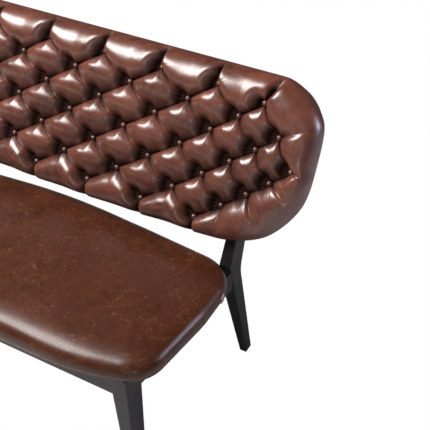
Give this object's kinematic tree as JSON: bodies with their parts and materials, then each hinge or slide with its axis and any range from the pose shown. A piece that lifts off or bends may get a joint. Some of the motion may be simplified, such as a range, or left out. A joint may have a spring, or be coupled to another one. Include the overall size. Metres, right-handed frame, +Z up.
{
  "type": "two-seat settee",
  "caption": "Armless settee with a deep-buttoned brown leather back, a plain rolled leather seat and a black wooden frame.",
  "frame": {"origin": "middle of the footprint, on the floor", "axes": "+X along the settee towards the sitter's left, -Y towards the front, +Z up"},
  "size_m": [1.2964, 0.6273, 0.8755],
  "materials": {
    "leather": "satin",
    "black_wood": "satin",
    "plywood": "matte",
    "padding": "matte",
    "cloth": "matte",
    "twine": "matte",
    "steel": "satin",
    "glide": "matte"
  },
  "bodies": {
    "root": {"front_leg_left": "black_wood", "front_leg_right": "black_wood", "rear_leg_left": "black_wood", "rear_leg_right": "black_wood", "front_rail": "black_wood", "rear_rail": "black_wood", "side_rail_left": "black_wood", "side_rail_right": "black_wood", "centre_rail": "black_wood", "corner_blocks": "plywood", "rail_dowels": "plywood", "foot_glides": "glide", "seat_board": "plywood", "seat_foam": "padding", "seat_cover": "leather", "seat_welt": "leather", "seat_tab": "leather", "seat_screws": "steel", "dust_cover": "cloth", "back_board": "plywood", "back_foam": "padding", "back_cover": "leather", "back_outside_panel": "leather", "back_welt": "leather", "back_buttons": "leather", "button_ties": "twine", "back_bolts": "steel", "back_washers": "steel", "back_t_nuts": "steel"}
  },
  "joints": []
}
